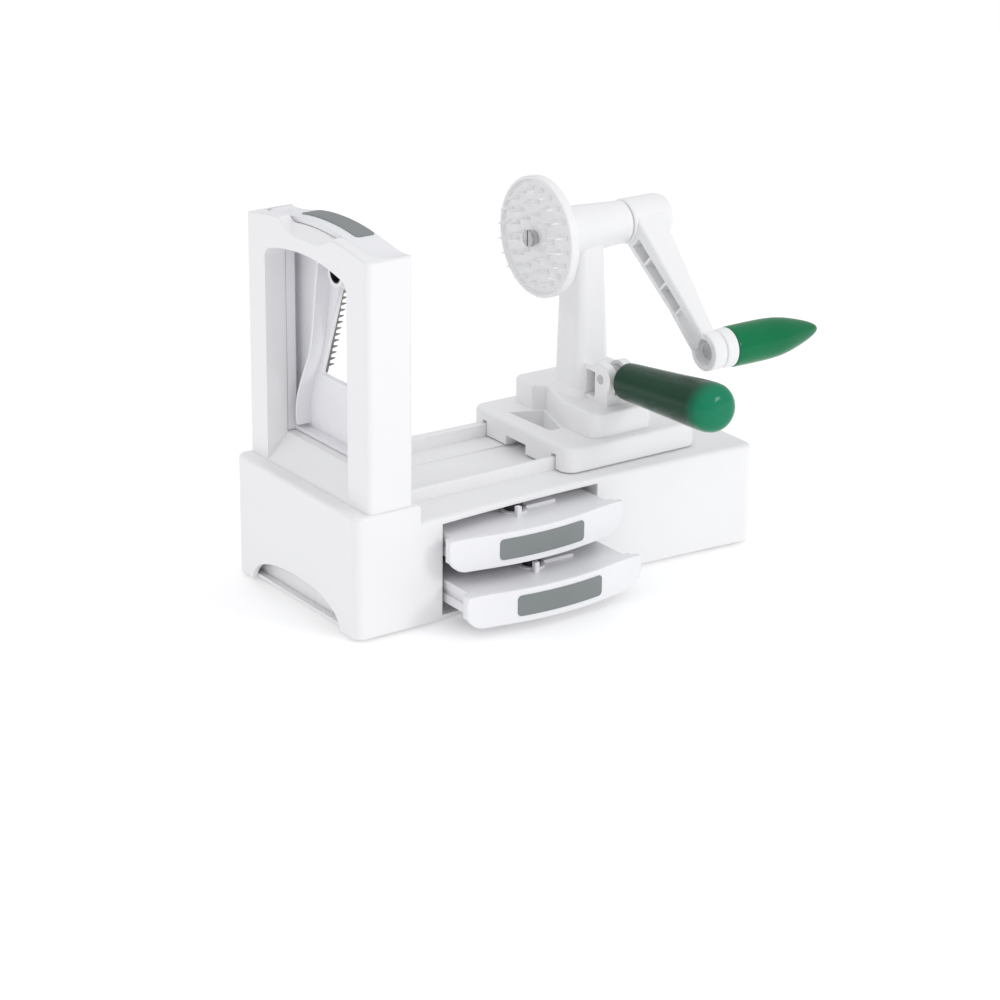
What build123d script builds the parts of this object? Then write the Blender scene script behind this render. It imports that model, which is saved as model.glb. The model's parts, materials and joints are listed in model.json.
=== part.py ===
from build123d import *
import math
import os

os.makedirs("parts", exist_ok=True)

# ---------------------------------------------------------------- driving dimensions (mm)
BASE_L = 284.0            # base length along X
BASE_W = 131.0            # base width along Y
BASE_Z0 = 2.0             # lower edge of the base walls above the resting plane
BASE_TOP = 64.0           # top surface of the base
BOW = 5.0                 # how far the long sides bow in at their middle
WALL = 3.0
SKIN = 2.5                # top skin thickness
SOCKET_X1 = -99.0         # right-hand end of the raised socket
SOCKET_TOP = 75.0
RAIL_Y0, RAIL_Y1 = 33.8, 36.8
RAIL_TOP = 72.0
RAIL_X1 = 104.0
BAY_X0, BAY_X1 = -84.0, 28.0      # opening for the two stored cartridges
BAY_Z0 = 4.6
SLOT_CX = (BAY_X0 + BAY_X1) / 2

TOWER_X0, TOWER_X1 = -133.0, -102.6
TOWER_HY = 64.0
ARCH_END, ARCH_MID = 218.4, 226.0
WIN_HY = 43.0             # half width of the tower window on the outer side
WIN_TOP = 209.0

AXIS_Z = 195.0            # crank axis height
SLED_X0, SLED_X1 = 14.0, 111.0
SLED_HY = 49.7
SLED_Z0, SLED_TOP = 64.7, 80.0
PED_TOP = 95.5
BARREL_X0, BARREL_X1 = 34.0, 87.0
BARREL_R0, BARREL_R1 = 15.6, 12.8
SHAFT_R = 4.0
RUN = 0.05                # radial running clearance
DISC_R = 36.0
HUB_X0, HUB_X1 = 87.5, 119.5
HUB_R = 13.5
KNOB_Y, KNOB_Z = -63.9, 128.4
PIN_Y, PIN_Z, PIN_X = -28.5, 110.5, 62.0
PIN_R = 3.0
HANDLE_TILT = 4.6

PLATE_X = -105.2          # food-side face of the tower cartridge plate
CART_HW = 54.0            # half width of a cartridge plate
CART_LOW = -104.0         # lower end of a cartridge plate, from the corer centre
FL_BOT = 16.0             # underside of the flange, from the corer centre
FL_HW = 61.0
STORE_Y = -49.9           # corer centre of a fully stored cartridge
LOWER_OUT = 23.0          # how far the lower cartridge is pulled out at rest
UPPER_OUT = 5.0           # how far the upper cartridge is pulled out at rest
UP_Z, LOW_Z = 53.5, 25.5  # plate top face of the stored cartridges


# ---------------------------------------------------------------- helpers
def bx(x0, x1, y0, y1, z0, z1):
    return Box(x1 - x0, y1 - y0, z1 - z0).move(Location(((x0 + x1) / 2, (y0 + y1) / 2, (z0 + z1) / 2)))


def cyl(p, d, r, h):
    pl = Plane(origin=p, z_dir=d)
    return pl * Cylinder(r, h, align=(Align.CENTER, Align.CENTER, Align.MIN))


def cyx(x0, x1, y, z, r):
    return cyl((x0, y, z), (1, 0, 0), r, x1 - x0)


def cyz(z0, z1, x, y, r):
    return cyl((x, y, z0), (0, 0, 1), r, z1 - z0)


def rbox(x0, x1, y0, y1, z0, z1, r):
    sk = Plane(origin=((x0 + x1) / 2, (y0 + y1) / 2, z0)) * RectangleRounded(x1 - x0, y1 - y0, r)
    return extrude(sk, z1 - z0)


def safe_fillet(body, edges, r):
    for f in (1.0, 0.6, 0.3):
        try:
            out = fillet(edges, r * f)
            if out.is_valid:
                return out
        except Exception:
            pass
    return body


def revolve_x(pts, y, z, arcs=()):
    """solid of revolution about an X axis through (y, z); pts are (x, radius)"""
    with BuildPart() as bp:
        with BuildSketch(Plane(origin=(0, y, z), x_dir=(1, 0, 0), z_dir=(0, -1, 0))):
            with BuildLine():
                Polyline(*pts, close=True)
            make_face()
        revolve(axis=Axis((0, y, z), (1, 0, 0)))
    return bp.part


def solids(shape):
    s = shape.solids()
    return s


def one(shape):
    s = shape.solids()
    if len(s) == 1:
        return s[0]
    s = sorted(s, key=lambda v: -v.volume)
    return s[0]


NODES = {}


def put(name, shape):
    NODES[name] = shape


def put_group(name, shapes):
    NODES[name] = Compound(children=[one(s) if not isinstance(s, Solid) else s for s in shapes], label=name)


def base_plan(inset, z):
    """waisted plan of the base, offset inwards by inset"""
    hx, hy = BASE_L / 2 - inset, BASE_W / 2 - inset
    xa, xb = -90.0, hx - 8.0
    xm = (xa + xb) / 2
    r = max(6.0 - inset, 2.0)
    k = r * (1 - math.sqrt(0.5))
    with BuildSketch(Plane(origin=(0, 0, z))) as sk:
        with BuildLine():
            Line((-hx + r, -hy), (xa, -hy))
            ThreePointArc((xa, -hy), (xm, -hy + BOW), (xb, -hy))
            Line((xb, -hy), (hx - r, -hy))
            ThreePointArc((hx - r, -hy), (hx - k, -hy + k), (hx, -hy + r))
            Line((hx, -hy + r), (hx, hy - r))
            ThreePointArc((hx, hy - r), (hx - k, hy - k), (hx - r, hy))
            Line((hx - r, hy), (xb, hy))
            ThreePointArc((xb, hy), (xm, hy - BOW), (xa, hy))
            Line((xa, hy), (-hx + r, hy))
            ThreePointArc((-hx + r, hy), (-hx + k, hy - k), (-hx, hy - r))
            Line((-hx, hy - r), (-hx, -hy + r))
            ThreePointArc((-hx, -hy + r), (-hx + k, -hy + k), (-hx + r, -hy))
        make_face()
    return sk.sketch


# ---------------------------------------------------------------- base housing
outer = extrude(base_plan(0, BASE_Z0), BASE_TOP - BASE_Z0)
outer = safe_fillet(outer, outer.faces().sort_by(Axis.Z)[-1].edges(), 3.0)
sock = rbox(-BASE_L / 2, SOCKET_X1 + 8, -BASE_W / 2, BASE_W / 2, 40, SOCKET_TOP, 6.0) & bx(-150, SOCKET_X1, -80, 80, 30, 90)
sock = safe_fillet(sock, sock.faces().sort_by(Axis.Z)[-1].edges(), 2.0)
housing = outer + sock
cav = extrude(base_plan(WALL, BASE_Z0 - 1), BASE_TOP - SKIN - BASE_Z0 + 1)
cav += rbox(-BASE_L / 2 + WALL, SOCKET_X1 - WALL, -BASE_W / 2 + WALL, BASE_W / 2 - WALL, 20, SOCKET_TOP - SKIN, 4.0)
housing -= cav
# well that receives the tower foot
well = bx(-134.0, -101.6, -62.0, 62.0, 36.0, SOCKET_TOP - 0.5)
housing += well
housing -= bx(-131.0, -104.6, -59.0, 59.0, 39.0, SOCKET_TOP + 1)
TOWER_SCREWS = [(-124.0, -52.0), (-124.0, 52.0), (-111.6, -52.0), (-111.6, 52.0)]
for x, y in TOWER_SCREWS:
    housing -= cyz(30, 45, x, y, 1.7)
# front opening for the two stored cartridges
housing -= bx(BAY_X0, BAY_X1, -80, -50, BAY_Z0, 60.0)
# low arch in the left end wall
arch_pts = [(-48, 1), (-46.5, 6), (-43, 10.5), (-36, 14.6), (-20, 18.7), (0, 20), (20, 18.7), (36, 14.6), (43, 10.5), (46.5, 6), (48, 1)]
with BuildPart() as ap:
    with BuildSketch(Plane.YZ.offset(-150)):
        with BuildLine():
            Spline(*arch_pts)
            Line(arch_pts[-1], arch_pts[0])
        make_face()
    extrude(amount=20)
housing -= ap.part
# cross wall close behind the arch
housing += bx(-134.2, -131.2, -62.7, 62.7, 4.6, 37.0)
# rails, end stops and the shallow centre recess of the top
for s in (-1, 1):
    y0, y1 = (RAIL_Y0, RAIL_Y1) if s > 0 else (-RAIL_Y1, -RAIL_Y0)
    rail = bx(SOCKET_X1 - 1, RAIL_X1, y0, y1, BASE_TOP - 1, RAIL_TOP)
    rail = safe_fillet(rail, rail.edges().filter_by(Axis.X).sort_by(Axis.Z)[-2:], 0.6)
    housing += rail
housing -= bx(SOCKET_X1, 128, -15, 15, BASE_TOP - 0.8, BASE_TOP + 1)
# bosses for the bottom cover screws
COVER_SCREWS = [(-97.0, -54.0), (-97.0, 54.0), (44.0, -50.0), (44.0, 50.0), (132.0, -55.5), (132.0, 55.5)]
for x, y in COVER_SCREWS:
    housing += cyz(4.5, BASE_TOP - 1, x, y, 4.0)
for x, y in COVER_SCREWS:
    housing -= cyz(3.0, 22.0, x, y, 1.6)
put("base_housing", one(housing))

# ---------------------------------------------------------------- bottom cover, its screws and the feet
FEET = [(-120.0, -46.0), (-120.0, 46.0), (118.0, -44.0), (118.0, 44.0)]
cover = extrude(base_plan(WALL + 0.4, 2.5), 2.0)
for x, y in COVER_SCREWS:
    cover -= cyz(0, 6, x, y, 1.7)
for x, y in FEET:
    cover -= cyz(0, 6, x, y, 3.0)
put("bottom_cover", one(cover))
put_group("cover_screws", [cyz(1.3, 2.5, x, y, 3.0) + cyz(2.4, 16.0, x, y, 1.6) for x, y in COVER_SCREWS])
feet = []
for x, y in FEET:
    with BuildPart() as fp:
        with BuildSketch(Plane(origin=(x, y, 0), x_dir=(1, 0, 0), z_dir=(0, -1, 0))):
            with BuildLine():
                Polyline((0, 1.2), (7, 0.9), (11.5, 0), (13.0, 0), (10.5, 1.9), (6, 2.5), (3.0, 2.5), (3.0, 4.5), (4.2, 4.5), (3.2, 7.0), (0, 7.0), close=True)
            make_face()
        revolve(axis=Axis((x, y, 0), (0, 0, 1)))
    feet.append(fp.part)
put_group("suction_feet", feet)

# ---------------------------------------------------------------- slot guides
guides = []
for s in (-1, 1):
    xw = BAY_X0 if s < 0 else BAY_X1
    xo = xw + s * 3.0
    lo, hi = min(xw, xo), max(xw, xo)
    g = bx(lo, hi, -56.8, 56.8, 4.5, BASE_TOP - SKIN)
    for zt in (LOW_Z, UP_Z):
        xi = xw - s * 2.6
        g += bx(min(xi, xw), max(xi, xw), -56.8, 56.8, zt - 8.2, zt - 5.8)
    xi = xw - s * 2.6
    g += bx(min(xi, xw), max(xi, xw), -56.8, -50.0, 27.5, 31.0)
    g += bx(min(xw, xw + s * 7), max(xw, xw + s * 7), 48, 56.8, 4.5, 12)
    guides.append(g)
put_group("slot_guides", guides)

# ---------------------------------------------------------------- tower


def arch_z(y, drop=0.0):
    R = (TOWER_HY ** 2 + (ARCH_MID - ARCH_END) ** 2) / (2 * (ARCH_MID - ARCH_END))
    return ARCH_MID - R + math.sqrt(R * R - y * y) - drop


tower = rbox(TOWER_X0, TOWER_X1, -TOWER_HY, TOWER_HY, SOCKET_TOP, 232, 4.0)
with BuildPart() as tp:
    with BuildSketch(Plane.YZ.offset(TOWER_X0 - 5)):
        with BuildLine():
            Line((-70, 60), (70, 60))
            Line((70, 60), (70, ARCH_END - 0.5))
            ThreePointArc((70, ARCH_END - 0.5), (0, ARCH_MID), (-70, ARCH_END - 0.5))
            Line((-70, ARCH_END - 0.5), (-70, 60))
        make_face()
    extrude(amount=50)
tower &= tp.part
# finger scoop in the outer face, under the flange lip
with BuildPart() as sp:
    with BuildSketch(Plane.YZ.offset(TOWER_X0 - 3)):
        with BuildLine():
            Spline((-31, 227), (-22, 221.6), (-12, 217.9), (0, 216.8), (12, 217.9), (22, 221.6), (31, 227))
            Line((31, 227), (31, 236))
            Line((31, 236), (-31, 236))
            Line((-31, 236), (-31, 227))
        make_face()
    extrude(amount=12)
with BuildPart() as wd:
    with BuildSketch(Plane.XZ.offset(40)):
        with BuildLine():
            Polyline((TOWER_X0 - 4, 214.4), (-121.0, 225.2), (-121.0, 240.0), (TOWER_X0 - 4, 240.0), close=True)
        make_face()
    extrude(amount=-80)
tower -= sp.part & wd.part
# seat of the cartridge flange
SEAT_X = -125.7
fl_top = [(-61, 24.6), (-52, 24.7), (-40, 26.6), (-20, 29.9), (0, 31.0), (20, 29.9), (40, 26.6), (52, 24.7), (61, 24.6)]
with BuildPart() as st:
    with BuildSketch(Plane.YZ.offset(SEAT_X)):
        with BuildLine():
            Spline(*[(a, AXIS_Z + b - 3.4) for a, b in fl_top])
            Line((61, AXIS_Z + 24.6 - 3.4), (70, AXIS_Z + 24.6 - 3.4))
            Line((70, AXIS_Z + 24.6 - 3.4), (70, 240))
            Line((70, 240), (-70, 240))
            Line((-70, 240), (-70, AXIS_Z + 24.6 - 3.4))
            Line((-70, AXIS_Z + 24.6 - 3.4), (-61, AXIS_Z + 24.6 - 3.4))
        make_face()
    extrude(amount=40)
seat = st.part
seat_plan = rbox(SEAT_X, SEAT_X + 60, -FL_HW - 0.5, FL_HW + 0.5, 180, 250, 12.4)
tower -= (seat & seat_plan)
tower -= bx(-119.6, -100, -60.6, 60.6, AXIS_Z + FL_BOT - 2.4, 240)
# vertical slot that receives the cartridge plate and its side walls
tower -= bx(-119.6, -104.9, -CART_HW - 0.5, CART_HW + 0.5, AXIS_Z + CART_LOW - 0.4, 240)
tower -= bx(-106, -100, -50.5, 50.5, AXIS_Z + CART_LOW - 0.4, 240)
# window through the outer part
with BuildPart() as wp:
    with BuildSketch(Plane.YZ.offset(TOWER_X0 - 5)) as wsk:
        with BuildLine():
            Line((-WIN_HY, 76), (WIN_HY, 76))
            Line((WIN_HY, 76), (WIN_HY, WIN_TOP - 6.5))
            ThreePointArc((WIN_HY, WIN_TOP - 6.5), (0, WIN_TOP), (-WIN_HY, WIN_TOP - 6.5))
            Line((-WIN_HY, WIN_TOP - 6.5), (-WIN_HY, 76))
        make_face()
        fillet([v for v in wsk.vertices() if v.Y > 150], 7)
    extrude(amount=20)
tower -= wp.part & bx(TOWER_X0 - 5, -119, -60, 60, 76, 240)
# sloping chute under the window
with BuildPart() as cp:
    with BuildSketch(Plane.XZ.offset(WIN_HY)):
        with BuildLine():
            Polyline((TOWER_X0, 75.5), (TOWER_X0, 76.5), (-119.6, AXIS_Z + CART_LOW - 0.4), (-118.6, AXIS_Z + CART_LOW - 0.4), (-118.6, 75.5), close=True)
        make_face()
    extrude(amount=-2 * WIN_HY)
tower += cp.part
tower += bx(-119.7, -104.0, -WIN_HY, WIN_HY, 75, AXIS_Z + CART_LOW - 0.4)
# foot that stands in the socket
foot = rbox(-130.7, -104.9, -58.7, 58.7, 39.2, SOCKET_TOP + 0.5, 3.0)
foot -= bx(-128.2, -107.4, -44.0, 44.0, 38, 73)
tower += foot
for x, y in TOWER_SCREWS:
    tower -= cyz(38, 58, x, y, 1.6)
# hollow posts
for s in (-1, 1):
    ya, yb = sorted((s * 46.0, s * 61.0))
    tower -= bx(-130.2, -122.4, ya, yb, 78.5, 196)
tower = one(tower)
te = [e for e in tower.edges() if abs(e.center().X - TOWER_X0) < 0.05 and e.center().Z > 212]
tower = safe_fillet(tower, te, 1.2)
put("tower_frame", one(tower))
put_group("tower_screws", [cyz(33.6, 36.0, x, y, 3.2) + cyz(35.9, 56.0, x, y, 1.6) for x, y in TOWER_SCREWS])

# ---------------------------------------------------------------- carriage sled
sled = rbox(SLED_X0, SLED_X1, -SLED_HY, SLED_HY, SLED_Z0, SLED_TOP, 8.0)
sled = safe_fillet(sled, sled.faces().sort_by(Axis.Z)[-1].edges(), 2.5)
for s in (-1, 1):
    ya, yb = sorted((s * (RAIL_Y0 - 0.6), s * (RAIL_Y1 + 0.6)))
    sled -= bx(SLED_X0 - 1, SLED_X1 + 1, ya, yb, SLED_Z0 - 1, 73.6)
    ya, yb = sorted((s * 40.0, s * 46.7))
    sled -= bx(SLED_X0 + 10, SLED_X1 - 10, ya, yb, SLED_Z0 - 1, 76.5)
sled -= bx(SLED_X0 + 10, SLED_X1 - 5, -30.5, 30.5, SLED_Z0 - 1, 76.5)
sled -= bx(SLED_X0 - 1, SLED_X0 + 12, -7.0, 13.0, SLED_Z0 - 1, 70.5)
sled += bx(22.5, 46.5, -17.5, 26.5, 67.0, 77.0)
with BuildPart() as wn:
    with BuildSketch(Plane.XY.offset(69.0)):
        with BuildLine():
            Polyline((24.3, 24.5), (26.0, -15.5), (33.5, -15.5), (44.5, 17.0), close=True)
        make_face()
    extrude(amount=20)
sled -= wn.part
COL_SCREWS = [(52.0, -24.0), (52.0, 24.0), (74.0, -24.0), (74.0, 24.0)]
for x, y in COL_SCREWS:
    sled -= cyz(70, 85, x, y, 1.7)
put("carriage_sled", one(sled))

# ---------------------------------------------------------------- pedestal, column, barrel and handle bracket
with BuildPart() as pp:
    with BuildSketch(Plane.XY.offset(SLED_TOP)) as psk:
        with BuildLine():
            Polyline((36.5, -43.5), (82.0, -43.5), (82.0, 43.5), (39.5, 43.5), (39.5, 22.0), (46.5, 17.0), (36.5, -12.0), close=True)
        make_face()
        fillet([v for v in psk.vertices() if abs(abs(v.Y) - 43.5) < 0.01], 7.0)
    extrude(amount=PED_TOP - SLED_TOP)
ped = pp.part
ped = safe_fillet(ped, ped.faces().sort_by(Axis.Z)[-1].edges(), 2.0)


def loft_rects(levels):
    """levels: (z, cx, cy, lx, ly, r)"""
    with BuildPart() as lp:
        for z, cx, cy, lx, ly, r in levels:
            with BuildSketch(Plane(origin=(cx, cy, z))):
                RectangleRounded(lx, ly, r)
        loft(ruled=True)
    return lp.part


column = loft_rects([(PED_TOP - 1, 60.0, 0, 33.0, 34.0, 8.0), (PED_TOP + 5.0, 60.2, 0, 25.6, 27.0, 6.5)])
column += loft_rects([(PED_TOP + 5.0, 60.2, 0, 25.6, 27.0, 6.5), (AXIS_Z, 58.3, 0, 18.8, 22.5, 5.5)])
barrel = revolve_x([(BARREL_X0, 0), (BARREL_X0, BARREL_R0 - 0.8), (BARREL_X0 + 0.8, BARREL_R0), (BARREL_X1 - 0.6, BARREL_R1), (BARREL_X1, BARREL_R1 - 0.6), (BARREL_X1, 0)], 0, AXIS_Z)
bracket = cyx(52.5, 71.5, PIN_Y, PIN_Z, 9.5) + bx(52.5, 71.5, PIN_Y - 7.0, -10.0, PED_TOP - 1, PIN_Z) + bx(52.5, 71.5, PIN_Y, -10.0, PIN_Z - 1, PIN_Z + 5.8)
bracket = one(bracket)
col = ped + column + barrel + bracket
col -= bx(51.5, 56.5, PIN_Y + 5.2, -14.5, PED_TOP + 2.5, PIN_Z + 3.0)
col -= bx(51.5, 64.0, -19.8, -14.5, PED_TOP + 2.5, PIN_Z + 3.0)
# hollow underside of the pedestal, screw bosses left standing
hol = bx(50.0, 78.0, -39.5, 39.5, SLED_TOP - 1, PED_TOP - 3.0)
for x, y in COL_SCREWS:
    hol -= cyz(70, 100, x, y, 4.5)
col -= hol
for x, y in COL_SCREWS:
    col -= cyz(SLED_TOP - 1, PED_TOP - 3.5, x, y, 1.6)
col -= cyx(BARREL_X0 - 1, BARREL_X1 + 1, 0, AXIS_Z, 7.0)
# slot and cross hole for the eye of the push handle
col -= bx(PIN_X - 3.7, PIN_X + 3.7, -50, PIN_Y + 8.2, PIN_Z - 9.0, PIN_Z + 20)
col -= cyx(52.0, 72.0, PIN_Y, PIN_Z, PIN_R)
put("carriage_column", one(col))
put_group("column_screws", [cyz(74.3, 76.5, x, y, 3.2) + cyz(76.4, 90.0, x, y, 1.6) for x, y in COL_SCREWS])
bushes = []
for x0, x1 in ((BARREL_X0, BARREL_X0 + 10), (BARREL_X1 - 10, BARREL_X1)):
    b = cyx(x0, x1, 0, AXIS_Z, 7.0) - cyx(x0 - 1, x1 + 1, 0, AXIS_Z, SHAFT_R + RUN)
    bushes.append(b)
put_group("shaft_bushings", bushes)
pads = []
for x in (SLED_X0 + 16, SLED_X1 - 26):
    for s in (-1, 1):
        ya, yb = sorted((s * (RAIL_Y0 - 0.6), s * (RAIL_Y1 + 0.6)))
        pads.append(bx(x, x + 12, ya, yb, RAIL_TOP + 0.05, 73.6))
put_group("glide_pads", pads)
pin = cyx(52.6, 71.4, PIN_Y, PIN_Z, PIN_R)
put("handle_pin", one(pin))

# ---------------------------------------------------------------- crank
shaft = cyx(21.0, 117.0, 0, AXIS_Z, SHAFT_R)
put("crank_shaft", one(shaft))

hold = revolve_x([(24.0, SHAFT_R), (24.0, 8.0), (26.4, 9.0), (26.4, 33.6), (24.2, 34.2), (24.2, DISC_R - 0.4), (24.8, DISC_R), (29.6, DISC_R), (30.0, DISC_R - 0.6), (30.0, 10.0), (33.5, 9.0), (33.5, SHAFT_R)], 0, AXIS_Z)
spikes = []
for rr, n, ph in ((14.0, 8, 0.0), (21.0, 14, 0.2), (28.5, 20, 0.1)):
    for k in range(n):
        t = ph + 2 * math.pi * k / n
        y, z = rr * math.cos(t), AXIS_Z + rr * math.sin(t)
        spikes.append(Plane(origin=(26.4, y, z), z_dir=(-1, 0, 0)) * Cone(1.5, 0.25, 8.8, align=(Align.CENTER, Align.CENTER, Align.MIN)))
put("food_holder", one(hold))
put_group("holder_spikes", spikes)
scr = cyx(18.6, 21.0, 0, AXIS_Z, 5.0)
scr -= bx(18.0, 19.4, -0.6, 0.6, AXIS_Z - 5.5, AXIS_Z + 5.5)
put("holder_screw", one(scr))

# arm: a tapering channel that leans outwards from the hub to the knob boss
ARM_LEN = math.hypot(KNOB_Y, KNOB_Z - AXIS_Z)
ARM_ANG = math.degrees(math.atan2(KNOB_Z - AXIS_Z, KNOB_Y))
hubs = revolve_x([(HUB_X0, 0), (HUB_X0, HUB_R - 0.8), (HUB_X0 + 0.8, HUB_R), (HUB_X1 - 7.0, HUB_R), (HUB_X1 - 3.0, HUB_R - 1.3), (HUB_X1 - 0.8, HUB_R - 4.2), (HUB_X1, HUB_R - 7.0), (HUB_X1, 0)], 0, AXIS_Z)
BOSS_X0, BOSS_X1 = 101.0, 110.6
BOSS_R = 11.6
boss = revolve_x([(BOSS_X0, 0), (BOSS_X0, BOSS_R - 0.6), (BOSS_X0 + 0.6, BOSS_R), (BOSS_X1 - 0.6, BOSS_R), (BOSS_X1, BOSS_R - 0.6), (BOSS_X1, 0)], KNOB_Y, KNOB_Z)
uy, uz = KNOB_Y / ARM_LEN, (KNOB_Z - AXIS_Z) / ARM_LEN       # along the arm
vy, vz = -uz, uy                                              # across the arm


def arm_section(t, x0, x1, hw, z_round=2.0, side=0.0):
    """cross-section rectangle of the arm at distance t from the crank axis, its middle moved sideways by side"""
    pl = Plane(origin=((x0 + x1) / 2, uy * t + uz * side, AXIS_Z + uz * t - uy * side), x_dir=(1, 0, 0), z_dir=(0, uy, uz))
    return pl * RectangleRounded(x1 - x0, 2 * hw, z_round)


arm = loft([arm_section(0, 88.0, 109.0, 10.7, side=2.2), arm_section(ARM_LEN, BOSS_X0, BOSS_X1 - 0.2, 7.0)], ruled=True)
# the edge on the channel side flares out to the knob boss
flare = loft([arm_section(56.0, 96.2, 109.6, 4.5, 1.6, side=-2.9), arm_section(ARM_LEN - 4.0, BOSS_X0, BOSS_X1 - 0.2, 7.4, side=-3.0)], ruled=True)
armp = hubs + arm + flare + boss
# moulded channel in the inner side of the arm, split by three ribs
ch_cuts = []
stops = [(15.5, 27.8), (29.4, 45.4), (47.0, 62.9)]
for t0, t1 in stops:
    def face_x(t):
        return 88.0 + (BOSS_X0 - 88.0) * t / ARM_LEN

    def hw(t):
        return 4.3 - 1.3 * t / ARM_LEN
    c = loft([arm_section(t0, face_x(t0) - 6, face_x(t0) + 7.5, hw(t0), 0.6), arm_section(t1, face_x(t1) - 6, face_x(t1) + 7.0, hw(t1), 0.6)], ruled=True)
    armp -= c
# shallow bed that widens towards the boss
armp -= loft([arm_section(64.5, face_x(64.5) - 6, face_x(64.5) + 2.6, 2.7, 0.6), arm_section(87.0, face_x(87.0) - 6, face_x(87.0) + 3.2, 5.4, 0.6, side=-1.6)], ruled=True)
armp -= cyx(BOSS_X0 - 1, BOSS_X0 + 5.0, KNOB_Y, KNOB_Z, 8.0)
armp -= cyx(HUB_X0 - 1, 117.0, 0, AXIS_Z, SHAFT_R)
armp -= cyx(115.5, HUB_X1 + 1, 0, AXIS_Z, 5.5)
armp -= cyx(BOSS_X0 - 2, BOSS_X1 + 2, KNOB_Y, KNOB_Z, 3.0)
put("crank_arm", one(armp))
cap = revolve_x([(117.0, 0), (117.0, 5.5), (119.6, 5.5), (120.6, 4.2), (121.0, 2.0), (121.0, 0)], 0, AXIS_Z)
put("arm_cap", one(cap))

axle = cyx(BOSS_X0 + 4.4, 158.0, KNOB_Y, KNOB_Z, 3.0)
axle -= cyx(154.0, 155.2, KNOB_Y, KNOB_Z, 4.0) - cyx(153.0, 156.0, KNOB_Y, KNOB_Z, 2.2)
axle += cyx(BOSS_X0 + 3.6, BOSS_X0 + 5.0, KNOB_Y, KNOB_Z, 5.0)
put("knob_axle", one(axle))
clip = cyx(154.1, 155.1, KNOB_Y, KNOB_Z, 5.0) - cyx(153, 156, KNOB_Y, KNOB_Z, 2.2) - bx(150, 160, KNOB_Y - 1.8, KNOB_Y + 1.8, KNOB_Z - 6, KNOB_Z)
put("axle_clip", one(clip))

# ---------------------------------------------------------------- knob
grip_pts = [(119.0, 5.0), (119.0, 11.8), (119.6, 12.2), (126, 12.4), (136, 12.5), (146, 12.4), (153, 12.1), (158, 11.5), (163, 10.6), (168, 9.4), (174, 7.7), (179, 6.0), (183, 4.4), (186, 2.9), (187.5, 1.6), (188.0, 0.0), (160.0, 0.0), (160.0, 6.3), (153.2, 6.3), (153.2, 5.0)]
put("knob_grip", one(revolve_x(grip_pts, KNOB_Y, KNOB_Z)))
collar = revolve_x([(111.0, 5.0), (111.0, 10.6), (111.8, 11.5), (118.0, 12.0), (119.0, 11.8), (119.0, 5.0)], KNOB_Y, KNOB_Z)
put("knob_collar", one(collar))
sleeve = cyx(111.0, 153.2, KNOB_Y, KNOB_Z, 5.0) - cyx(110, 156, KNOB_Y, KNOB_Z, 3.0 + RUN)
put("knob_sleeve", one(sleeve))

# ---------------------------------------------------------------- push handle (built pointing along -Y, then tilted about the pin)
HPL = Plane(origin=(PIN_X, PIN_Y, PIN_Z), x_dir=(1, 0, 0), z_dir=(0, 0, 1))


def revolve_hy(pts):
    """solid of revolution about the -Y axis through the pin; pts are (distance from pin, radius)"""
    with BuildPart() as bp:
        with BuildSketch(Plane(origin=(PIN_X, PIN_Y, PIN_Z), x_dir=(0, -1, 0), z_dir=(1, 0, 0))):
            with BuildLine():
                Polyline(*pts, close=True)
            make_face()
        revolve(axis=Axis((PIN_X, PIN_Y, PIN_Z), (0, -1, 0)))
    return bp.part


G0 = 14.0
gp = [(G0, 0.0), (G0, 10.2), (G0 + 1.0, 11.2), (25, 11.7), (40, 12.4), (55, 13.1), (70, 13.9), (82, 14.5), (89, 14.7), (94, 14.3), (98, 12.9), (100.6, 10.6), (102.2, 7.6), (102.9, 4.0), (103.0, 0.0)]
grip = revolve_hy(gp)
grip -= cyx(40, 85, PIN_Y, PIN_Z, 10.0)
grip -= cyl((PIN_X, PIN_Y, PIN_Z), (0, -1, 0), 3.2, 72.0)
rod = cyl((PIN_X, PIN_Y, PIN_Z), (0, -1, 0), 3.2, 72.0) & bx(PIN_X - 3.0, PIN_X + 3.0, -200, 0, 0, 300)
rod = cyl((PIN_X, PIN_Y - 11.0, PIN_Z), (0, -1, 0), 3.2, 61.0) + rod
rod += cyx(PIN_X - 3.2, PIN_X + 3.2, PIN_Y, PIN_Z, 7.0)
rod = one(rod) - cyx(PIN_X - 5, PIN_X + 5, PIN_Y, PIN_Z, PIN_R + RUN)
tilt = Axis((PIN_X, PIN_Y, PIN_Z), (1, 0, 0))
put("handle_grip", one(one(grip).rotate(tilt, -HANDLE_TILT)))
put("handle_rod", one(one(rod).rotate(tilt, -HANDLE_TILT)))


# ---------------------------------------------------------------- cartridges, built in (across, up, food side) = (X, Y, Z)
def spline_band(pts, drop):
    with BuildPart() as bp:
        with BuildSketch(Plane.XY.offset(-19.0)):
            with BuildLine():
                Spline(*pts)
                Line(pts[-1], (pts[-1][0], pts[-1][1] - drop))
                Spline(*[(a, b - drop) for a, b in reversed(pts)])
                Line((pts[0][0], pts[0][1] - drop), pts[0])
            make_face()
        extrude(amount=20.0)
    return bp.part


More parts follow.
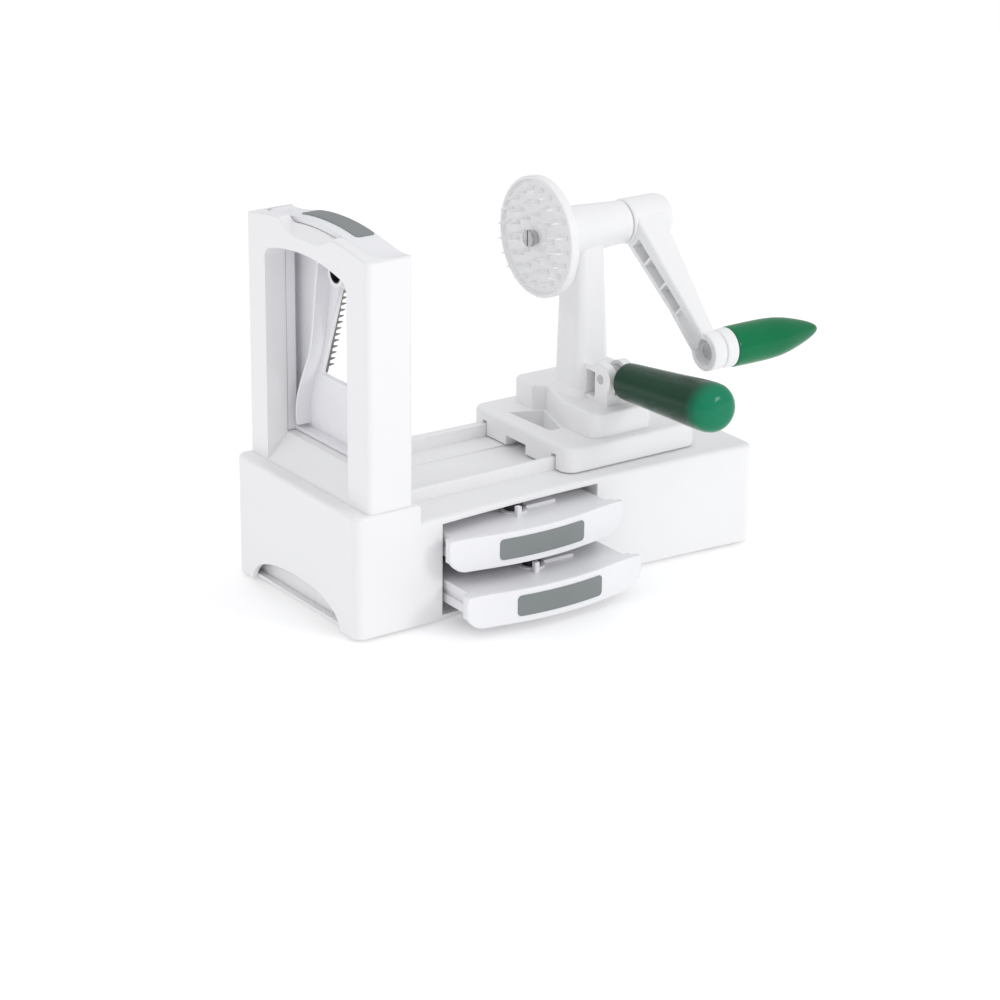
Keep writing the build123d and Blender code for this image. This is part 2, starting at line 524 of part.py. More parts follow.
def cart_frame(kind):
    fl = spline_band(fl_top, 3.0)
    # the two rear corners of the flange are rounded as seen from its face
    round_plan = Plane(origin=(0, -10, -5.0), x_dir=(1, 0, 0), z_dir=(0, 1, 0)) * RectangleRounded(2 * FL_HW, 28.0, 12.0)
    fl &= extrude(round_plan, 70.0)
    body = one(fl)
    body += bx(-58.0, 58.0, FL_BOT, 22.5, -14.0, 0.0)
    with BuildPart() as fb:
        with BuildSketch(Plane.XY.offset(-14.0)):
            with BuildLine():
                Spline(*[(a, b - 1.0) for a, b in fl_top])
                Line((fl_top[-1][0], fl_top[-1][1] - 1.0), (fl_top[-1][0], 19.0))
                Line((fl_top[-1][0], 19.0), (fl_top[0][0], 19.0))
                Line((fl_top[0][0], 19.0), (fl_top[0][0], fl_top[0][1] - 1.0))
            make_face()
        extrude(amount=14.0)
    body += fb.part & bx(-57.0, 57.0, 18.0, 40.0, -14.0, 0.0)
    # plate with a slight taper
    with BuildPart() as pb:
        with BuildSketch(Plane.XY.offset(-3.0)):
            with BuildLine():
                Polyline((-CART_HW, 18.0), (-CART_HW + 1.2, CART_LOW), (CART_HW - 1.2, CART_LOW), (CART_HW, 18.0), close=True)
            make_face()
        extrude(amount=3.0)
    plate = pb.part
    plate += bx(-46.0, 46.0, CART_LOW, CART_LOW + 2.5, -9.0, -2.5)
    for s in (-1, 1):
        xa, xb = sorted((s * 50.4, s * 52.8))
        w = bx(xa, xb, CART_LOW, 18.0, -14.0, -2.5)
        plate += w
        xa, xb = sorted((s * 52.3, s * (CART_HW + 1)))
        plate -= bx(xa, xb, CART_LOW - 1, FL_BOT - 0.5, -8.7, -5.3)
        xa, xb = sorted((s * 52.0, s * (CART_HW - 0.6)))
        plate += bx(xa, xb, CART_LOW, 18.0, -5.4, -2.5)
        plate += bx(xa, xb, CART_LOW, 18.0, -14.0, -8.6)
        xa, xb = sorted((s * 50.4, s * 52.6))
        plate += bx(xa, xb, FL_BOT - 1, 18.0, -14.0, -2.5)
    body += plate
    body = one(body)
    if kind == "fine":
        # curved wall that turns the cut food out of the window, and the channels beside the window
        curve = [(12.0, 14.0), (13.3, 4.4), (16.9, -17.6), (19.5, -37.2), (23.0, -51.3), (27.6, -61.5), (32.2, -70.7), (36.3, -80.9), (37.2, -98.9)]
        with BuildPart() as dw:
            with BuildSketch(Plane.XY.offset(-12.0)):
                with BuildLine():
                    Spline(*curve)
                    Line(curve[-1], (curve[-1][0] - 2.0, curve[-1][1]))
                    Spline(*[(a - 2.0, b) for a, b in reversed(curve)])
                    Line((curve[0][0] - 2.0, curve[0][1]), curve[0])
                make_face()
            extrude(amount=9.5)
        body += dw.part
        for s in (-1, 1):
            xa, xb = sorted((s * 43.4, s * 51.0))
            body += bx(xa, xb, CART_LOW, FL_BOT + 1, -14.0, -8.0)
    # short post beside the corer and the corer boss
    body += bx(2.0, 5.0, 8.0, 11.0, -0.5, 6.0)
    body += cyl((0, 0, -8.0), (0, 0, 1), 8.0, 9.2)
    # raised pad under the straight blade
    body += bx(-28.0, -5.0, -68.0, -8.5, -0.5, 1.5)
    body += bx(-28.0, -7.0, -8.6, 2.5, -0.5, 2.0) - bx(-29.0, -2.0, -20.0, -7.2, 1.5, 4.0)
    if kind == "ribbon":
        win = [(-5.0, -7.0), (5.0, -7.0), (7.5, -66.0), (-5.0, -66.0)]
    else:
        win = [(-5.0, -9.0), (3.0, -9.0), (24.0, -66.0), (-5.0, -66.0)]
    with BuildPart() as wb:
        with BuildSketch(Plane.XY.offset(-20)) as wk:
            with BuildLine():
                Polyline(*win, close=True)
            make_face()
            fillet(wk.vertices(), 1.5)
        extrude(amount=30)
    body -= wb.part
    body -= cyl((0, 0, -20.0), (0, 0, 1), 5.5, 40)
    # shallow bed for the label plate
    body -= label_solid(kind)
    return one(body)


def label_solid(kind):
    band = spline_band([(a, b + 0.5) for a, b in fl_top], 1.3)
    with BuildPart() as rp:
        with BuildSketch(Plane(origin=(0, 0, 0), x_dir=(1, 0, 0), z_dir=(0, -1, 0))) as rsk:
            with Locations((0, -6.0 if kind == "fine" else -9.0)):
                RectangleRounded(58.6, 12.4, 2.4)
        extrude(amount=60, both=True)
    return one(band & rp.part)


def cart_blade():
    b = bx(-24.5, -3.6, -66.5, -7.5, 1.5, 2.4)
    with BuildPart() as bp:
        with BuildSketch(Plane.XZ.offset(0)):
            with BuildLine():
                Polyline((-24.5, 1.5), (-4.4, 1.5), (-2.2, 2.3), (-2.2, 2.4), (-24.5, 2.4), close=True)
            make_face()
        extrude(amount=59.0)
    b = bp.part.move(Location((0, -7.5, 0)))
    for y in (-15.0, -58.0):
        b -= cyl((-17.0, y, 0), (0, 0, 1), 1.55, 5)
    return one(b)


def strip_frame(angle):
    """plane with its origin at the strip's upper inner corner, strip running along -Y'"""
    return Location((4.2, -8.0, 0), (0, 0, angle))


def cart_strip(kind):
    if kind == "thick":
        s = bx(0, 22.0, -60.0, 0, 0.0, 0.9)
        for k in range(7):
            y = -7.0 - 8.0 * k
            s -= cyl((6.6, y, -1), (0, 0, 1), 1.9, 3)
            t = Plane(origin=(0.45, y, 0.8), z_dir=(0, 0, 1)) * Box(0.9, 3.6, 0.4)
            with BuildPart() as tb:
                with BuildSketch(Plane(origin=(0.0, y, 0.4), x_dir=(0, 1, 0), z_dir=(1, 0, 0))):
                    with BuildLine():
                        Polyline((-2.0, 0), (2.0, 0), (0, 5.0), close=True)
                    make_face()
                extrude(amount=0.9)
            s += tb.part
        ang = 22.0
    else:
        s = bx(0, 15.0, -60.0, 0, 0.0, 0.9)
        for k in range(13):
            y = -4.5 - 4.2 * k
            s -= cyl((5.0, y, -1), (0, 0, 1), 1.0, 3)
            s -= cyl((9.4, y - 2.1, -1), (0, 0, 1), 1.0, 3)
            with BuildPart() as tb:
                with BuildSketch(Plane(origin=(0.0, y, 0.4), x_dir=(0, 1, 0), z_dir=(1, 0, 0))):
                    with BuildLine():
                        Polyline((-1.0, 0), (1.0, 0), (0, 4.0), close=True)
                    make_face()
                extrude(amount=0.9)
            s += tb.part
        ang = 19.0
    w = 20.6 if kind == "thick" else 15.0
    riv_y = (-14.0, -55.0) if kind == "thick" else (-5.0, -55.0)
    for y in riv_y:
        s -= cyl((w - 2.6, y, -1), (0, 0, 1), 1.3, 3)
    s = one(s).move(Location((3.4, -9.0, 0.0), (0, 0, ang)))
    if kind == "thick":
        # the end next to the corer is cut parallel to the flange
        s = one(s - bx(-10.0, 60.0, -10.0, 40.0, -1.0, 6.0))
    return s, ang, w, riv_y


def cart_corer():
    c = cyl((0, 0, -8.0), (0, 0, 1), 5.5, 14.0) - cyl((0, 0, -9), (0, 0, 1), 4.7, 20)
    return one(c)


def place(shape, loc):
    return shape.moved(loc)


# locations: local X (across), Y (up to the flange), Z (food side)
LOC_TOWER = Plane(origin=(PLATE_X, 0, AXIS_Z), x_dir=(0, 1, 0), z_dir=(1, 0, 0)).location
LOC_UP = Plane(origin=(SLOT_CX, STORE_Y - UPPER_OUT, UP_Z), x_dir=(-1, 0, 0), z_dir=(0, 0, 1)).location
LOC_LOW = Plane(origin=(SLOT_CX, STORE_Y - LOWER_OUT, LOW_Z), x_dir=(-1, 0, 0), z_dir=(0, 0, 1)).location

for name, kind, loc in (("fine", "fine", LOC_TOWER), ("ribbon", "ribbon", LOC_UP), ("thick", "thick", LOC_LOW)):
    put("cartridge_" + name + "_frame", place(cart_frame(kind), loc))
    put("cartridge_" + name + "_label", place(label_solid(kind), loc))
    put("cartridge_" + name + "_blade", place(cart_blade(), loc))
    put("cartridge_" + name + "_corer", place(cart_corer(), loc))
    riv = [cyl((-17.0, y, 1.5), (0, 0, 1), 1.55, 0.9) + cyl((-17.0, y, 2.4), (0, 0, 1), 2.4, 0.7) for y in (-15.0, -58.0)]
    if kind != "ribbon":
        st_, ang, w, riv_y = cart_strip(kind)
        put("cartridge_" + name + "_strip", place(st_, loc))
        for y in riv_y:
            r = cyl((w - 2.6, y, 0.0), (0, 0, 1), 1.3, 0.9) + cyl((w - 2.6, y, 0.9), (0, 0, 1), 2.1, 0.6)
            riv.append(r.move(Location((3.4, -9.0, 0.0), (0, 0, ang))))
    put_group("cartridge_" + name + "_rivets", [one(r).moved(loc) for r in riv])

for name, shape in NODES.items():
    export_step(shape, f"parts/{name}.step")
    n = len(shape.solids())
    b = shape.bounding_box()
    print(f"{name:28s} solids {n} vol {shape.volume:10.1f} x {b.min.X:7.1f}..{b.max.X:7.1f} y {b.min.Y:7.1f}..{b.max.Y:7.1f} z {b.min.Z:7.1f}..{b.max.Z:7.1f}")
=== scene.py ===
import bpy
import bmesh
import json
import math
from mathutils import Matrix, Vector
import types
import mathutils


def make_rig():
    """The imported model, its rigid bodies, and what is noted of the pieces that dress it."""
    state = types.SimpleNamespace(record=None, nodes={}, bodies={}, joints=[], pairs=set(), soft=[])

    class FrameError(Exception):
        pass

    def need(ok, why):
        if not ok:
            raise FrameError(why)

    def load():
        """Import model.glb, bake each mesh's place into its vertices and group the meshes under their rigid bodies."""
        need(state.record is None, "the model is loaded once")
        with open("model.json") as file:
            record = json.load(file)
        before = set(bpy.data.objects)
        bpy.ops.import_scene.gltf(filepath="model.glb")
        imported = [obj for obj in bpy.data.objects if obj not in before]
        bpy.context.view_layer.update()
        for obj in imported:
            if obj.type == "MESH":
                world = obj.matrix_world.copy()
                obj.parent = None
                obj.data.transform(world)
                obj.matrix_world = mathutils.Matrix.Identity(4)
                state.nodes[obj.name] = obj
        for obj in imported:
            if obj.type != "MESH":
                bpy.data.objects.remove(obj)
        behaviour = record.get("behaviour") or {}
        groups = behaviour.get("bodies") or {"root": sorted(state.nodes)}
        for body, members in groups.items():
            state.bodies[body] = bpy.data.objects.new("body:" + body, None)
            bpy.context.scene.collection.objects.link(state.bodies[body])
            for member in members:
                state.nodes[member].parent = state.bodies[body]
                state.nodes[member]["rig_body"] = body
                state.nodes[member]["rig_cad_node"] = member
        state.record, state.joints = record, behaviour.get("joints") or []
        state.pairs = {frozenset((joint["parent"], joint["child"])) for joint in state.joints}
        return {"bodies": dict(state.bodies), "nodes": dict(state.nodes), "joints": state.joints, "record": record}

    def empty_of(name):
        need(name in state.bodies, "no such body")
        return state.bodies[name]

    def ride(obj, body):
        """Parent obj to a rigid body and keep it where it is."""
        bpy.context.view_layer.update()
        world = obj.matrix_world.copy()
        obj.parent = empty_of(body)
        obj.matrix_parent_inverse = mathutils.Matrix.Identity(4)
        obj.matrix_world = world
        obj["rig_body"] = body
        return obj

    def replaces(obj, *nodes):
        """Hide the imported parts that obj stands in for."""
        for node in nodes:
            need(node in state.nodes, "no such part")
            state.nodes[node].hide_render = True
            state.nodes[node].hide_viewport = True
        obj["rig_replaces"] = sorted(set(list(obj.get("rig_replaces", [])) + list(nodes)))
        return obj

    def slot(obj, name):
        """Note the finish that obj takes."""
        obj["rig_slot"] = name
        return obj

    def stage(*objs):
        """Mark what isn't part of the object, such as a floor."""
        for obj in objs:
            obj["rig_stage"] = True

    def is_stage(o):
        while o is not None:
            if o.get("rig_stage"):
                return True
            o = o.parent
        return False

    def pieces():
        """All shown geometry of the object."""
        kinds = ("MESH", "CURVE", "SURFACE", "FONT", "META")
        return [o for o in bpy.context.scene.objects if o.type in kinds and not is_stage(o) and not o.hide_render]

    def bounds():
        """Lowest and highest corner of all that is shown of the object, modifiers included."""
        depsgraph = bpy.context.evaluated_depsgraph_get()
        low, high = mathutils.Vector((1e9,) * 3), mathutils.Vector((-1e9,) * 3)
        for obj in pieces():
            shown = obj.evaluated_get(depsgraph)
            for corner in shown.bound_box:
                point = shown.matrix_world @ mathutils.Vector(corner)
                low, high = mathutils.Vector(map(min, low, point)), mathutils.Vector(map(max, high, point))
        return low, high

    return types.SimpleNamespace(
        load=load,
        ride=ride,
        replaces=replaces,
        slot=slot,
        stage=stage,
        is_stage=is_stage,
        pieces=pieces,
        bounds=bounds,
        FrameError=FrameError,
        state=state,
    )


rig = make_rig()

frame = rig.load()
lo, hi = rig.bounds()
size_log = {"cad": [list(map(float, lo)), list(map(float, hi))]}
MM = 0.001

# ------------------------------------------------------------------ material helpers


def new_mat(name):
    m = bpy.data.materials.new(name)
    m.use_nodes = True
    nt = m.node_tree
    nt.nodes.clear()
    out = nt.nodes.new("ShaderNodeOutputMaterial")
    b = nt.nodes.new("ShaderNodeBsdfPrincipled")
    nt.links.new(b.outputs["BSDF"], out.inputs["Surface"])
    return m, nt, b


def node(nt, kind, **kw):
    n = nt.nodes.new(kind)
    for k, v in kw.items():
        if k in n.inputs:
            n.inputs[k].default_value = v
        else:
            setattr(n, k, v)
    return n


def coords(nt, scale=(1, 1, 1), rot=(0, 0, 0)):
    tc = nt.nodes.new("ShaderNodeTexCoord")
    mp = nt.nodes.new("ShaderNodeMapping")
    mp.inputs["Scale"].default_value = scale
    mp.inputs["Rotation"].default_value = rot
    nt.links.new(tc.outputs["Object"], mp.inputs["Vector"])
    return mp


def noise(nt, vec, scale, detail=2.0, rough=0.5):
    n = nt.nodes.new("ShaderNodeTexNoise")
    n.inputs["Scale"].default_value = scale
    n.inputs["Detail"].default_value = detail
    n.inputs["Roughness"].default_value = rough
    nt.links.new(vec.outputs["Vector"], n.inputs["Vector"])
    return n


def ramp(nt, src, stops):
    r = nt.nodes.new("ShaderNodeValToRGB")
    els = r.color_ramp.elements
    while len(els) < len(stops):
        els.new(0.5)
    for e, (p, c) in zip(els, stops):
        e.position = p
        e.color = (*c, 1.0) if len(c) == 3 else c
    nt.links.new(src, r.inputs["Fac"])
    return r


def map_range(nt, src, a, b):
    m = nt.nodes.new("ShaderNodeMapRange")
    m.inputs["To Min"].default_value = a
    m.inputs["To Max"].default_value = b
    nt.links.new(src, m.inputs["Value"])
    return m


def bump(nt, b, src, strength, dist, edge=0.0):
    n = nt.nodes.new("ShaderNodeBump")
    if edge:
        e = nt.nodes.new("ShaderNodeBevel")
        e.samples = 6
        e.inputs["Radius"].default_value = edge
        nt.links.new(e.outputs["Normal"], n.inputs["Normal"])
    n.inputs["Strength"].default_value = strength
    n.inputs["Distance"].default_value = dist
    nt.links.new(src, n.inputs["Height"])
    nt.links.new(n.outputs["Normal"], b.inputs["Normal"])
    return n


def plastic(name, dark, light, rough=(0.3, 0.4), grain=900.0, bump_s=0.08, coat=0.0, sss=0.0, spec=0.5, edge=0.0, ior=1.45):
    m, nt, b = new_mat(name)
    b.inputs["IOR"].default_value = ior
    c = coords(nt)
    big = noise(nt, c, 14.0, 3.0)
    fine = noise(nt, c, grain, 2.0)
    col = ramp(nt, big.outputs["Fac"], [(0.3, dark), (0.7, light)])
    nt.links.new(col.outputs["Color"], b.inputs["Base Color"])
    r = map_range(nt, noise(nt, c, 60.0, 4.0).outputs["Fac"], *rough)
    nt.links.new(r.outputs["Result"], b.inputs["Roughness"])
    bump(nt, b, fine.outputs["Fac"], bump_s, 0.00008, edge)
    b.inputs["Specular IOR Level"].default_value = spec
    if coat:
        b.inputs["Coat Weight"].default_value = coat
        b.inputs["Coat Roughness"].default_value = 0.12
    if sss:
        b.inputs["Subsurface Weight"].default_value = sss
        b.inputs["Subsurface Radius"].default_value = (1.0, 0.9, 0.85)
        b.inputs["Subsurface Scale"].default_value = 0.002
    return m


def steel(name, dark, light, rough=(0.22, 0.4), scale=(8, 900, 900)):
    m, nt, b = new_mat(name)
    c = coords(nt, scale)
    s = noise(nt, c, 1.0, 4.0, 0.6)
    cb = coords(nt)
    big = noise(nt, cb, 40.0, 3.0)
    mix = nt.nodes.new("ShaderNodeMath")
    mix.operation = "MULTIPLY"
    nt.links.new(s.outputs["Fac"], mix.inputs[0])
    nt.links.new(map_range(nt, big.outputs["Fac"], 0.8, 1.2).outputs["Result"], mix.inputs[1])
    col = ramp(nt, mix.outputs["Value"], [(0.3, dark), (0.7, light)])
    nt.links.new(col.outputs["Color"], b.inputs["Base Color"])
    b.inputs["Metallic"].default_value = 1.0
    nt.links.new(map_range(nt, s.outputs["Fac"], *rough).outputs["Result"], b.inputs["Roughness"])
    bump(nt, b, s.outputs["Fac"], 0.12, 0.00003)
    return m


M = {}
M["white_plastic"] = plastic("white_plastic", (0.88, 0.88, 0.885), (0.90, 0.90, 0.905), (0.34, 0.42), bump_s=0.03, spec=0.4, edge=0.0006)
M["frost_plastic"] = plastic("frost_plastic", (0.85, 0.851, 0.876), (0.885, 0.886, 0.908), (0.28, 0.36), bump_s=0.015, edge=0.0004)
M["green_plastic"] = plastic("green_plastic", (0.002, 0.148, 0.054), (0.004, 0.190, 0.072), (0.16, 0.22), grain=500.0, bump_s=0.02, spec=0.3, ior=1.36)
# the push handle is the knob's green plastic painted darker: painted shade on the handle body, which faces away from
# the lamps
M["green_painted_shade_and_highlight"] = plastic("green_painted_shade_and_highlight", (0.002, 0.038, 0.017), (0.004, 0.056, 0.025), (0.13, 0.18), grain=500.0, bump_s=0.02, spec=0.35, ior=1.38)
# the domed end of the push handle is painted a lighter green than its body: a painted highlight where the end faces
# the lamps, not a different plastic
_nt = M["green_painted_shade_and_highlight"].node_tree
_b = [n for n in _nt.nodes if n.type == "BSDF_PRINCIPLED"][0]
_body = _b.inputs["Base Color"].links[0].from_socket
_tc = _nt.nodes.new("ShaderNodeTexCoord")
_sx = _nt.nodes.new("ShaderNodeSeparateXYZ")
_nt.links.new(_tc.outputs["Object"], _sx.inputs["Vector"])
_painted_highlight_mask = _nt.nodes.new("ShaderNodeMapRange")
_painted_highlight_mask.interpolation_type = "SMOOTHSTEP"
_painted_highlight_mask.inputs["From Min"].default_value = -0.1125
_painted_highlight_mask.inputs["From Max"].default_value = -0.1265
_nt.links.new(_sx.outputs["Y"], _painted_highlight_mask.inputs["Value"])
_painted_highlight_mix = _nt.nodes.new("ShaderNodeMix")
_painted_highlight_mix.data_type = "RGBA"
_nt.links.new(_painted_highlight_mask.outputs["Result"], _painted_highlight_mix.inputs[0])
_nt.links.new(_body, _painted_highlight_mix.inputs[6])
# colour of the painted highlight on the lit domed end
_painted_highlight_mix.inputs[7].default_value = (0.006, 0.21, 0.105, 1.0)
_nt.links.new(_painted_highlight_mix.outputs[2], _b.inputs["Base Color"])
M["grey_label"] = plastic("grey_label", (0.203, 0.222, 0.224), (0.238, 0.258, 0.259), (0.4, 0.5), grain=1500.0)
M["black_plastic"] = plastic("black_plastic", (0.012, 0.012, 0.013), (0.022, 0.022, 0.024), (0.3, 0.45))
M["bearing_plastic"] = plastic("bearing_plastic", (0.6, 0.6, 0.57), (0.68, 0.68, 0.65), (0.4, 0.5))
M["foot_rubber"] = plastic("foot_rubber", (0.10, 0.11, 0.11), (0.14, 0.15, 0.15), (0.55, 0.7), grain=400.0, bump_s=0.2)
M["blade_steel"] = steel("blade_steel", (0.20, 0.19, 0.18), (0.34, 0.33, 0.315))
M["polished_steel"] = steel("polished_steel", (0.5, 0.5, 0.5), (0.66, 0.66, 0.66), (0.15, 0.28), (900, 40, 40))
M["screw_steel"] = steel("screw_steel", (0.40, 0.40, 0.41), (0.56, 0.56, 0.57), (0.25, 0.42), (300, 300, 300))

SLOTS = {s["node"]: s["material_slot"] for s in frame["record"]["subparts"]}
BODIES = frame["record"]["behaviour"]["bodies"]
BODY_OF = {n: b for b, ns in BODIES.items() for n in ns}

# ------------------------------------------------------------------ mesh helpers


def node_object(name):
    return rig.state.nodes[name]


def mark_smooth(bm, deg=32.0):
    for f in bm.faces:
        f.smooth = True
    for e in bm.edges:
        if len(e.link_faces) == 2:
            e.smooth = e.calc_face_angle(0.0) < math.radians(deg)
        else:
            e.smooth = False


def finish_piece(ob, name, body=None, slot=None):
    slot = slot or SLOTS[name]
    ob.data.materials.clear()
    ob.data.materials.append(M[slot])
    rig.ride(ob, body or BODY_OF[name])
    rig.replaces(ob, name)
    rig.slot(ob, slot)
    return ob


def smoothed(name, angle=30.0, weld=0.00001):
    """copy of a CAD node with its curved faces shaded as one; the shader rounds the edges"""
    me = node_object(name).data.copy()
    me.materials.clear()
    bm = bmesh.new()
    bm.from_mesh(me)
    bmesh.ops.remove_doubles(bm, verts=bm.verts, dist=weld)
    bmesh.ops.dissolve_degenerate(bm, edges=bm.edges, dist=weld)
    mark_smooth(bm, angle)
    bm.normal_update()
    bm.to_mesh(me)
    bm.free()
    ob = bpy.data.objects.new("vis_" + name, me)
    bpy.context.scene.collection.objects.link(ob)
    wn = ob.modifiers.new("normals", "WEIGHTED_NORMAL")
    wn.keep_sharp = True
    wn.weight = 80
    return finish_piece(ob, name)


def soften(name, width=0.5, segments=3, angle=32.0, weld=0.00002):
    """copy of a CAD node with every sharp edge rounded the way a moulding is"""
    src = node_object(name)
    me = src.data.copy()
    me.materials.clear()
    bm = bmesh.new()
    bm.from_mesh(me)
    bmesh.ops.remove_doubles(bm, verts=bm.verts, dist=weld)
    bmesh.ops.dissolve_degenerate(bm, edges=bm.edges, dist=weld)
    bmesh.ops.dissolve_limit(bm, angle_limit=math.radians(0.6), verts=bm.verts, edges=bm.edges, use_dissolve_boundaries=False)
    mark_smooth(bm, angle)
    bm.normal_update()
    bm.to_mesh(me)
    bm.free()
    ob = bpy.data.objects.new("vis_" + name, me)
    bpy.context.scene.collection.objects.link(ob)
    bv = ob.modifiers.new("round", "BEVEL")
    bv.width = width * MM
    bv.segments = segments
    bv.limit_method = "ANGLE"
    bv.angle_limit = math.radians(angle)
    bv.use_clamp_overlap = False
    bv.harden_normals = False
    bv.loop_slide = True
    wn = ob.modifiers.new("normals", "WEIGHTED_NORMAL")
    wn.keep_sharp = False
    wn.weight = 60
    return finish_piece(ob, name)


def smooth_profile(pts, n=6):
    """Catmull-Rom through (s, r) points; a point given as (s, r, 1) stays a corner"""
    P = [Vector((p[0], p[1])) for p in pts]
    corner = [len(p) > 2 for p in pts]
    out = []
    for i in range(len(P) - 1):
        a, b = P[i], P[i + 1]
        pa = P[i - 1] if i > 0 and not corner[i] else a + (a - b)
        pb = P[i + 2] if i + 2 < len(P) and not corner[i + 1] else b + (b - a)
        for k in range(n):
            t = k / n
            out.append(0.5 * ((2 * a) + (b - pa) * t + (2 * pa - 5 * a + 4 * b - pb) * t * t + (3 * a - pa - 3 * b + pb) * t ** 3))
    out.append(P[-1])
    return out


def lathe(name, prof, origin, axis, seg=96, wobble=None):
    """solid of revolution: prof holds (distance along axis, radius) in mm"""
    z = Vector(axis).normalized()
    x = z.orthogonal().normalized()
    y = z.cross(x)
    o = Vector(origin)
    bm = bmesh.new()
    rings = []
    for s, r in prof:
        if r < 1e-4:
            rings.append([bm.verts.new((o + z * s) * MM)])
        else:
            ring = []
            for k in range(seg):
                t = 2 * math.pi * k / seg
                rr = r + (wobble(s, t) if wobble else 0.0)
                ring.append(bm.verts.new((o + z * s + (x * math.cos(t) + y * math.sin(t)) * rr) * MM))
            rings.append(ring)
    for a, b in zip(rings, rings[1:]):
        if len(a) == 1 and len(b) == 1:
            continue
        for k in range(seg):
            j = (k + 1) % seg
            if len(a) == 1:
                bm.faces.new((a[0], b[j], b[k]))
            elif len(b) == 1:
                bm.faces.new((a[k], a[j], b[0]))
            else:
                bm.faces.new((a[k], a[j], b[j], b[k]))
    if len(rings[0]) > 1 and len(rings[-1]) > 1:
        a, b = rings[-1], rings[0]
        for k in range(seg):
            j = (k + 1) % seg
            bm.faces.new((a[k], a[j], b[j], b[k]))
    bmesh.ops.recalc_face_normals(bm, faces=bm.faces)
    mark_smooth(bm, 34.0)
    me = bpy.data.meshes.new(name)
    bm.to_mesh(me)
    bm.free()
    ob = bpy.data.objects.new(name, me)
    bpy.context.scene.collection.objects.link(ob)
    return ob


# ------------------------------------------------------------------ carried-over CAD nodes
for n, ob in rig.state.nodes.items():
    ob.data.materials.clear()
    ob.data.materials.append(M[SLOTS[n]])

SMOOTH = [
    "base_housing", "tower_frame", "crank_arm", "slot_guides", "food_holder", "holder_spikes", "arm_cap",
    "cartridge_fine_frame", "cartridge_ribbon_frame", "cartridge_thick_frame",
    "cartridge_fine_label", "cartridge_ribbon_label", "cartridge_thick_label",
    "handle_pin", "knob_axle", "suction_feet", "shaft_bushings", "crank_shaft", "handle_rod", "carriage_column",
]
for n in SMOOTH:
    smoothed(n)
for n, w in {"carriage_sled": 0.5}.items():
    soften(n, w)

# ------------------------------------------------------------------ turned pieces
KY, KZ, AXZ = -63.9, 128.4, 195.0
knob = lathe("vis_knob_grip", smooth_profile([(119.05, 5.0, 1), (119.05, 11.6, 1), (119.5, 12.15), (122, 12.35), (128, 12.45), (136, 12.5), (146, 12.4), (152, 12.1), (157, 11.6), (163, 10.55), (169, 9.05), (175, 7.3), (180, 5.6), (184, 3.9), (186.6, 2.4), (187.7, 1.1), (188.0, 0.0, 1)], 6)
             + [Vector((160.0, 0.0)), Vector((160.0, 6.3)), Vector((153.2, 6.3)), Vector((153.2, 5.0))], (0, KY, KZ), (1, 0, 0), 96)
finish_piece(knob, "knob_grip")
collar = lathe("vis_knob_collar", smooth_profile([(111.0, 5.0, 1), (111.0, 10.4, 1), (111.3, 11.0), (112.0, 11.5), (115, 11.8), (118.2, 12.0), (118.8, 11.8), (118.95, 11.4, 1), (118.95, 5.0, 1)], 4), (0, KY, KZ), (1, 0, 0), 96)
finish_piece(collar, "knob_collar")
TILT = math.radians(4.6)
grip = lathe("vis_handle_grip", smooth_profile([(14.0, 3.2, 1), (14.0, 9.6, 1), (14.3, 10.4), (15.2, 11.1), (20, 11.45), (30, 11.9), (45, 12.6), (60, 13.35), (72, 13.95), (82, 14.45), (88, 14.65), (92, 14.6), (95.5, 14.0), (98.5, 12.6), (100.7, 10.4), (102.1, 7.6), (102.8, 4.0), (103.0, 0.0, 1)], 6)
             + [Vector((72.0, 0.0)), Vector((72.0, 3.2))], (62.0, -28.5, 110.5), (0.0, -math.cos(TILT), math.sin(TILT)), 96)
finish_piece(grip, "handle_grip")
# the push handle takes the green with painted shade on its body and a painted highlight on its domed end
grip.data.materials[0] = M["green_painted_shade_and_highlight"]

# ------------------------------------------------------------------ stage, light and camera
bpy.ops.mesh.primitive_plane_add(size=1, location=(0, 0, 0))
floor = bpy.context.object
floor.name = "stage_floor"
floor.scale = (30, 30, 1)
fm, nt, b = new_mat("stage_floor")
b.inputs["Base Color"].default_value = (0.93, 0.93, 0.93, 1)
b.inputs["Roughness"].default_value = 0.9
b.inputs["Specular IOR Level"].default_value = 0.1
b.inputs["Emission Color"].default_value = (1, 1, 1, 1)
b.inputs["Emission Strength"].default_value = 0.21
floor.data.materials.append(fm)
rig.stage(floor)

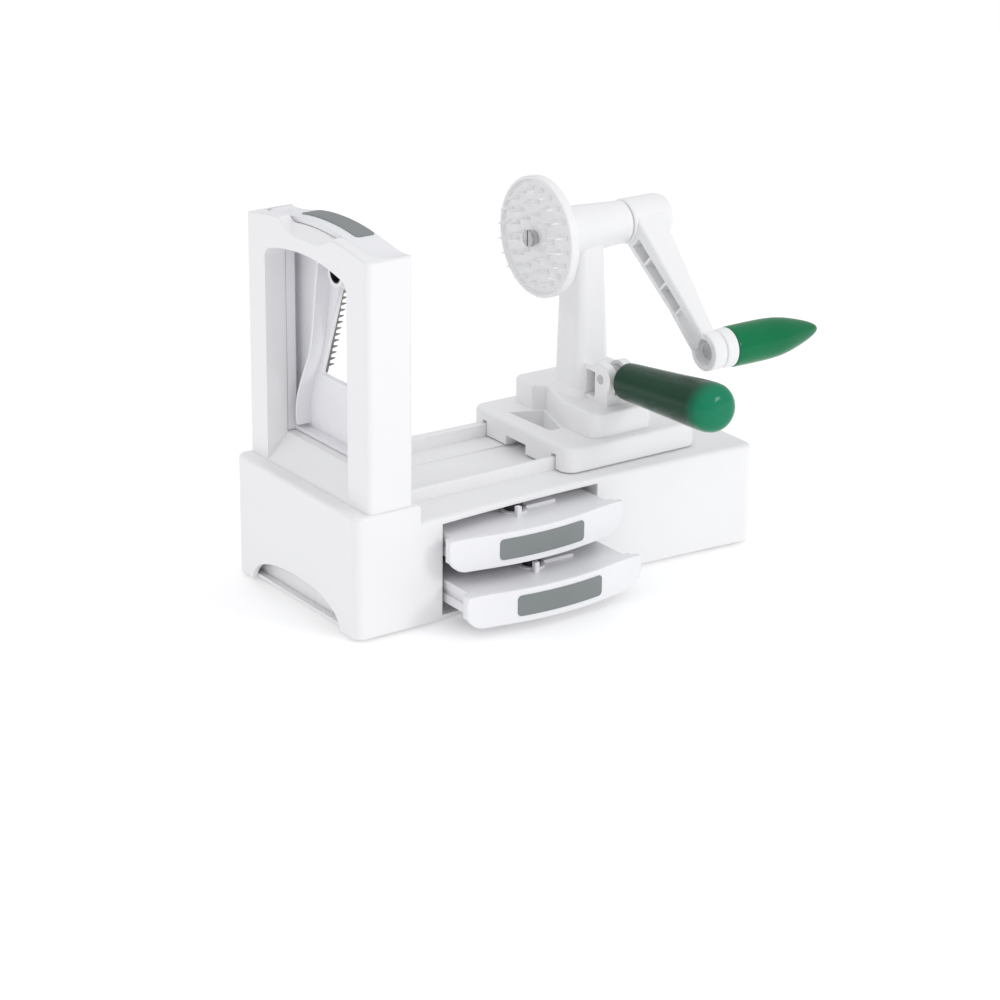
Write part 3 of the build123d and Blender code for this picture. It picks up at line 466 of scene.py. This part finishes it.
world = bpy.data.worlds.new("studio")
world.use_nodes = True
bg = world.node_tree.nodes["Background"]
bg.inputs["Strength"].default_value = 1.0
wt = world.node_tree
wc = wt.nodes.new("ShaderNodeTexCoord")
wd = wt.nodes.new("ShaderNodeVectorMath")
wd.operation = "DOT_PRODUCT"
wd.inputs[1].default_value = (0.0, 0.0, 1.0)
wt.links.new(wc.outputs["Generated"], wd.inputs[0])
wm = wt.nodes.new("ShaderNodeMapRange")
wm.inputs["From Min"].default_value = 0.0
wm.inputs["From Max"].default_value = 1.0
wm.inputs["To Min"].default_value = 0.63
wm.inputs["To Max"].default_value = 0.96
wt.links.new(wd.outputs["Value"], wm.inputs["Value"])
ws = wt.nodes.new("ShaderNodeVectorMath")
ws.operation = "SCALE"
ws.inputs[0].default_value = (0.994, 0.996, 1.012)
wt.links.new(wm.outputs["Result"], ws.inputs["Scale"])
wt.links.new(ws.outputs["Vector"], bg.inputs["Color"])
bpy.context.scene.world = world


def area(name, loc, target, size, power, color=(1, 1, 1)):
    ld = bpy.data.lights.new(name, "AREA")
    ld.shape = "RECTANGLE"
    ld.size, ld.size_y = size
    ld.energy = power
    ld.color = color
    ob = bpy.data.objects.new(name, ld)
    bpy.context.scene.collection.objects.link(ob)
    ob.location = loc
    ob.rotation_mode = "QUATERNION"
    ob.rotation_quaternion = (Vector(target) - Vector(loc)).to_track_quat("-Z", "Y")
    return ob


area("key_right", (0.74, -1.70, 0.84), (0, 0, 0.1), (0.52, 0.48), 6.8)
left = area("key_left", (-1.45, 0.75, 1.05), (0, 0, 0.1), (1.0, 0.9), 1.5)
left.visible_glossy = False

cam_d = bpy.data.cameras.new("photo_camera")
cam = bpy.data.objects.new("photo_camera", cam_d)
bpy.context.scene.collection.objects.link(cam)
bpy.context.scene.camera = cam
cam_d.sensor_width = 36.0
cam_d.lens = 3016.647 / 1000.0 * 36.0
cam_d.clip_start, cam_d.clip_end = 0.05, 60.0
A, E, R = math.radians(35.2653), math.radians(20.8375), math.radians(0.6398)
back = Vector((-math.sin(A) * math.cos(E), -math.cos(A) * math.cos(E), math.sin(E)))
right = Vector((math.cos(A), -math.sin(A), 0.0))
up = back.cross(right)
right, up = right * math.cos(R) + up * math.sin(R), -right * math.sin(R) + up * math.cos(R)
cam.matrix_world = Matrix((
    (right.x, up.x, back.x, -0.97047),
    (right.y, up.y, back.y, -1.374062),
    (right.z, up.z, back.z, 0.676661),
    (0, 0, 0, 1)))

sc = bpy.context.scene
sc.view_settings.view_transform = "Standard"
sc.view_settings.look = "None"
sc.view_settings.exposure = 0.0
sc.view_settings.gamma = 1.0

lo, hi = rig.bounds()
size_log["visual"] = [list(map(float, lo)), list(map(float, hi))]
with open("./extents.json", "w") as f:
    json.dump(size_log, f)
